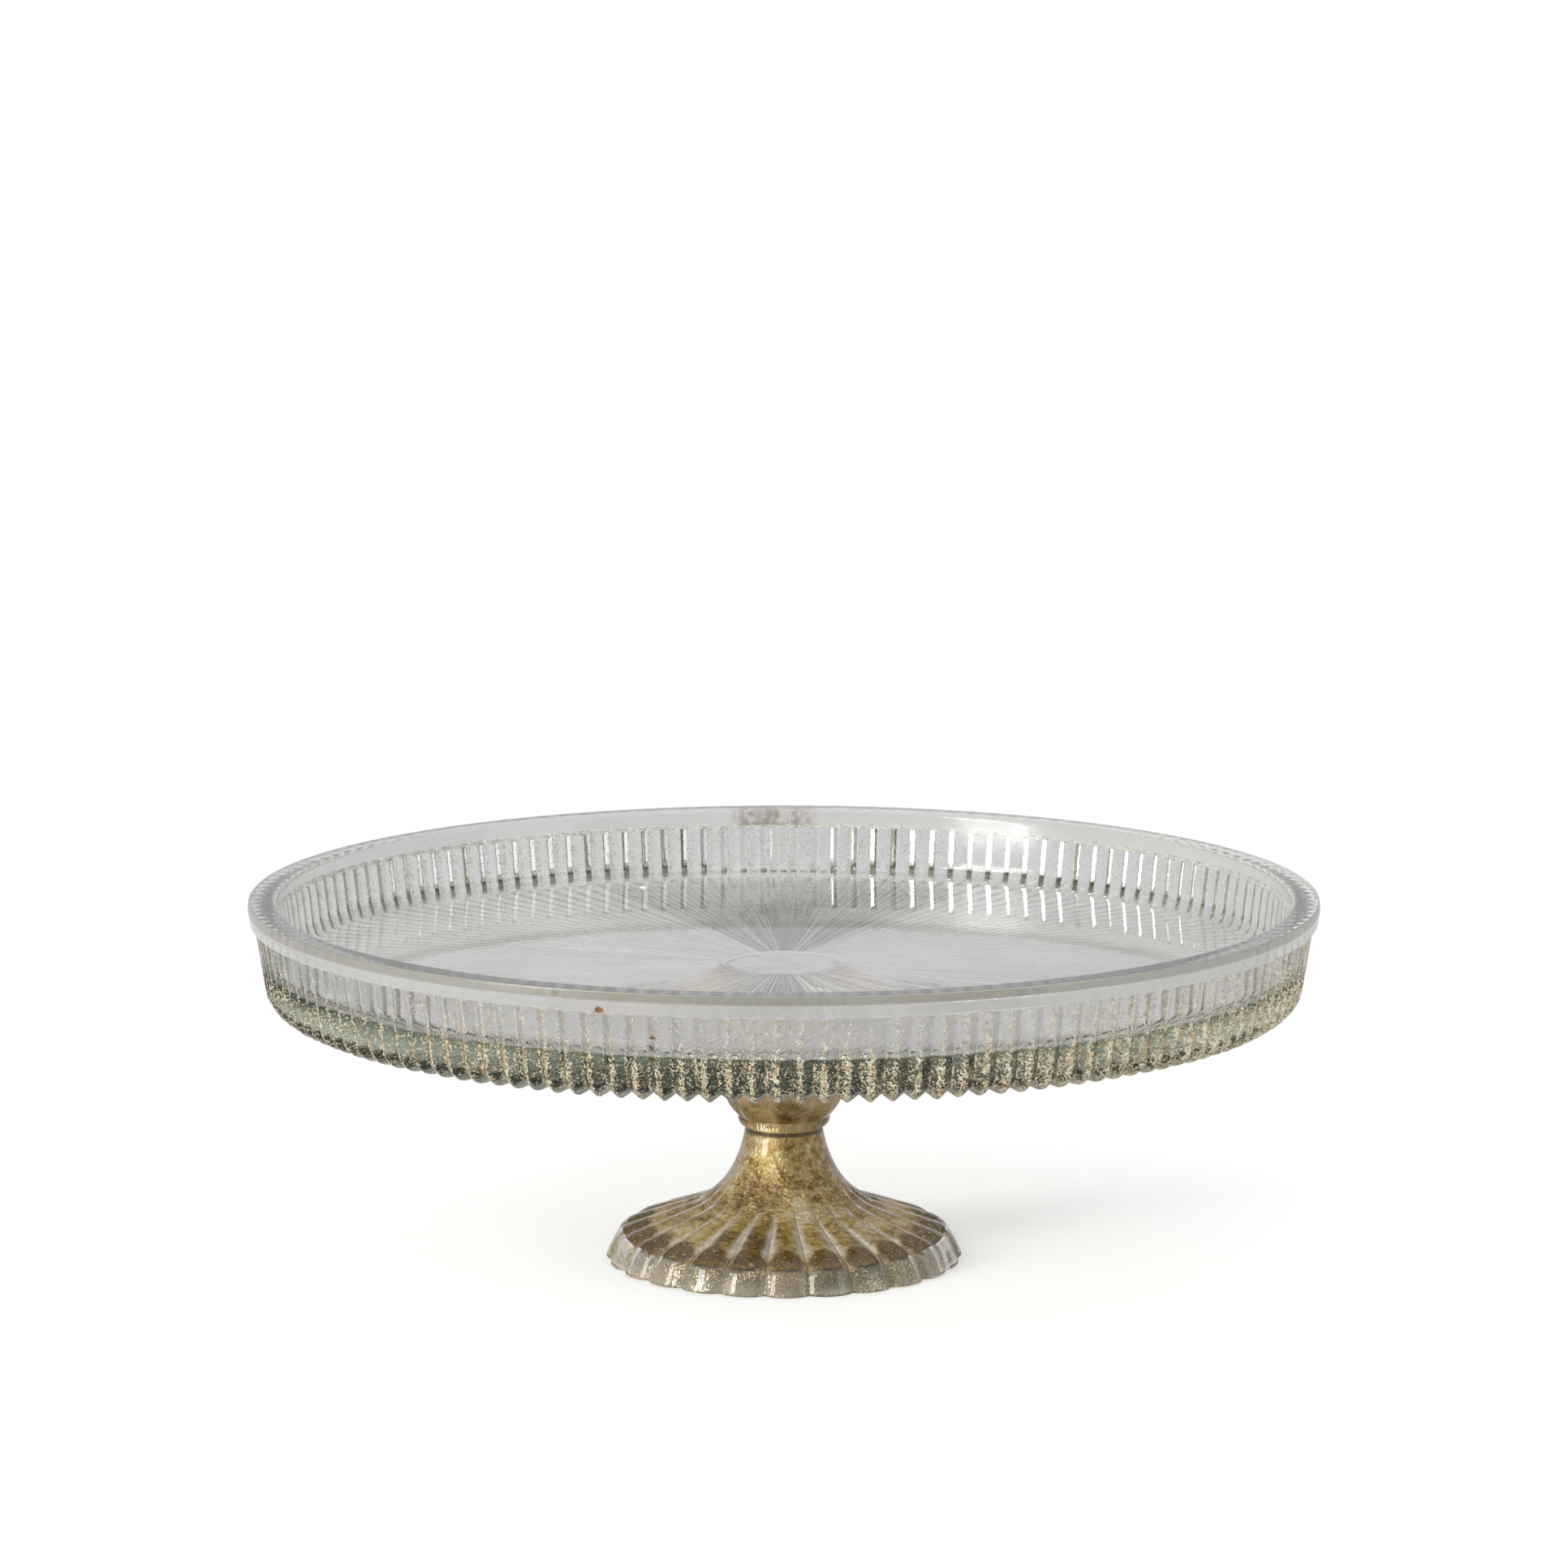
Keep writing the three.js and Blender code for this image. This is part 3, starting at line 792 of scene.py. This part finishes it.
def gilding_material():
    """Antique gold: mottled, with painted sparkle, silvery painted reflection along the creases of the foot,
    painted shade where its lobes turn down and in the groove under the collar, and the cup painted paler
    against the plate's shade.
    """
    g = new_material("antique_gold")
    at = locate(g)
    cloud = g.noise(at.place, 55, 5, 0.65, 0.4)
    fine = g.noise(at.place, 520, 3, 0.7)
    grain = g.noise(at.place, 1100, 2, 0.6)
    mottle = g.total(g.product(cloud, 0.65), g.product(fine, 0.35))
    tone = g.ramp(mottle, [
        (0.40, rgb(0.17, 0.10, 0.02)),
        (0.475, rgb(0.46, 0.31, 0.10)),
        (0.54, rgb(0.74, 0.57, 0.26)),
        (0.62, rgb(1.00, 0.94, 0.76)),
    ])
    # Painted sparkle: pale specks of glint colour scattered in the gold.
    painted_sparkle = g.span(grain, 0.60, 0.68)
    tone = g.mix(g.product(painted_sparkle, 0.6), tone, rgb(0.98, 0.93, 0.78))
    tone, painted_crease_reflection = dome_gold(g, at, tone, mottle, fine)
    tone, pale = cup_gold(g, at, tone, cloud)
    # Painted shade: a dark line in the groove under the collar
    groove = g.span_mm(g.away(at.z, (NECK_Z - 0.3) * MM), 1.2, 0.5)
    tone = g.mix(groove, tone, rgb(0.16, 0.10, 0.035))
    tone = dark_arches(g, at, tone, fine, painted_sparkle)
    dullness = g.total(g.product(painted_crease_reflection, 0.6), g.product(pale, 0.35))
    metallic = g.math("SUBTRACT", 0.85, dullness)
    roughness = g.span(mottle, 0.40, 0.62, 0.48, 0.27)
    bumps = g.bump(g.total(g.product(fine, 0.7), grain), 0.8, 0.0005)
    return g.surface(g.principled(tone, roughness, Metallic=metallic, Normal=bumps))


def adhesive_material():
    g = new_material("clear_adhesive")
    at = locate(g)
    tone = g.ramp(g.noise(at.place, 180, 4), [(0.35, rgb(0.62, 0.61, 0.64)), (0.65, rgb(0.80, 0.79, 0.83))])
    return g.surface(g.principled(tone, 0.3))


# ---------------------------------------------------------------- studio

def floor_material():
    """A pale floor. The camera sees it white in the distance, and in the glass it is light grey."""
    g = new_material("pale_floor")
    at = locate(g)
    seen = g.node("ShaderNodeLightPath").outputs["Is Camera Ray"]
    paper = g.ramp(g.noise(at.place, 3, 3), [(0.3, grey(0.93)), (0.7, grey(0.95))])
    tone = g.mix(seen, rgb(0.60, 0.59, 0.61), paper)
    matt = g.node("ShaderNodeBsdfDiffuse", {"Color": tone, "Roughness": 0.5}).outputs[0]
    white = g.node("ShaderNodeEmission", {"Color": grey(1.0)}).outputs[0]
    far = g.product(seen, g.span(at.radius, -0.1, 0.6))
    return g.surface(g.mix_shader(far, matt, white))


def make_floor():
    half = 12.0
    ring = [(-half, -half, 0), (half, -half, 0), (half, half, 0), (-half, half, 0)]
    mesh = bpy.data.meshes.new("studio_floor")
    mesh.from_pydata(ring, [], [(0, 1, 2, 3)])
    mesh.materials.append(floor_material())
    floor = bpy.data.objects.new("studio_floor", mesh)
    bpy.context.scene.collection.objects.link(floor)
    floor.location.z = cad_box[0].z - 0.0002


def area_light(name, place, target, width, height, power, colour):
    data = bpy.data.lights.new(name, "AREA")
    data.shape = "RECTANGLE"
    data.size, data.size_y = width, height
    data.energy = power
    data.color = colour
    lamp = bpy.data.objects.new(name, data)
    bpy.context.scene.collection.objects.link(lamp)
    lamp.location = place
    lamp.rotation_mode = "QUATERNION"
    lamp.rotation_quaternion = (Vector(target) - lamp.location).to_track_quat("-Z", "Y")


def make_lights():
    """A tall window in two panes at the front left, and soft lamps overhead and on the right."""
    middle = Vector((0, 0, RIM_Z * MM / 2))
    turn, distance, pane_offset = math.radians(54), 1.9, 0.16
    window_height = Vector((0, 0, 1.14))
    towards = Vector((-math.sin(turn), -math.cos(turn), 0))
    across = Vector((math.cos(turn), -math.sin(turn), 0))
    for side in (-1, 1):
        place = towards * distance + across * side * pane_offset + window_height
        area_light("window_pane", place, window_height, 0.28, 1.9, 16, (1.0, 0.985, 0.96))
    area_light("overhead", (0.2, 0.3, 1.9), middle, 2.2, 2.2, 12, (1, 1, 1))
    area_light("right_fill", (1.9, -0.9, 0.9), middle, 1.0, 1.2, 4, (0.96, 0.98, 1.0))


def make_world():
    """A pale studio. It is white to the camera and even for matt surfaces.

    In the glass it is light grey behind, paler overhead and dim in front, as a room is.
    """
    world = bpy.data.worlds.new("studio")
    bpy.context.scene.world = world
    g = Graph(world)
    direction = g.node("ShaderNodeTexCoord").outputs["Generated"]
    split = g.node("ShaderNodeSeparateXYZ", {0: direction}).outputs
    walls = g.ramp(g.span(split["Y"], -1, 1), [
        (0.0, rgb(0.165, 0.155, 0.115)),
        (0.35, rgb(0.31, 0.30, 0.255)),
        (0.6, rgb(0.585, 0.57, 0.605)),
        (1.0, rgb(0.70, 0.685, 0.73)),
    ])
    room = g.mix(g.span(split["Z"], 0.25, 0.9), walls, rgb(0.85, 0.85, 0.87))
    path = g.node("ShaderNodeLightPath").outputs
    colour = g.mix(path["Is Diffuse Ray"], room, grey(0.75))
    colour = g.mix(path["Is Camera Ray"], colour, grey(1.0))
    back = g.node("ShaderNodeBackground", {"Color": colour}).outputs[0]
    g.node("ShaderNodeOutputWorld", {"Surface": back})


def make_camera():
    """Looks down at the stand at about nine degrees, from 1.74 m in front of it, through a long lens."""
    distance, rise, pitch = 1.7377, 0.315, 9.22
    data = bpy.data.cameras.new("camera")
    data.sensor_width = 36
    data.lens = 135.4
    data.clip_end = 100
    camera = bpy.data.objects.new("camera", data)
    bpy.context.scene.collection.objects.link(camera)
    camera.location = (0, -distance, RIM_Z * MM + rise)
    camera.rotation_euler = (math.radians(90 - pitch), 0, 0)
    bpy.context.scene.camera = camera


def set_look():
    scene = bpy.context.scene
    scene.view_settings.view_transform = "Standard"
    scene.cycles.max_bounces = 24
    scene.cycles.transmission_bounces = 20
    scene.cycles.glossy_bounces = 8
    scene.cycles.transparent_max_bounces = 24
    scene.cycles.sample_clamp_indirect = 6
    scene.cycles.blur_glossy = 0.5


# ---------------------------------------------------------------- build

def build():
    pieces = {
        make_plate(): plate_material(),
        make_pedestal(): foot_material(),
        make_gilding(): gilding_material(),
        make_bond(): adhesive_material(),
    }
    for piece, material in pieces.items():
        piece.data.materials.append(material)
        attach(piece, "root")


build()
make_floor()
make_lights()
make_world()
make_camera()
set_look()
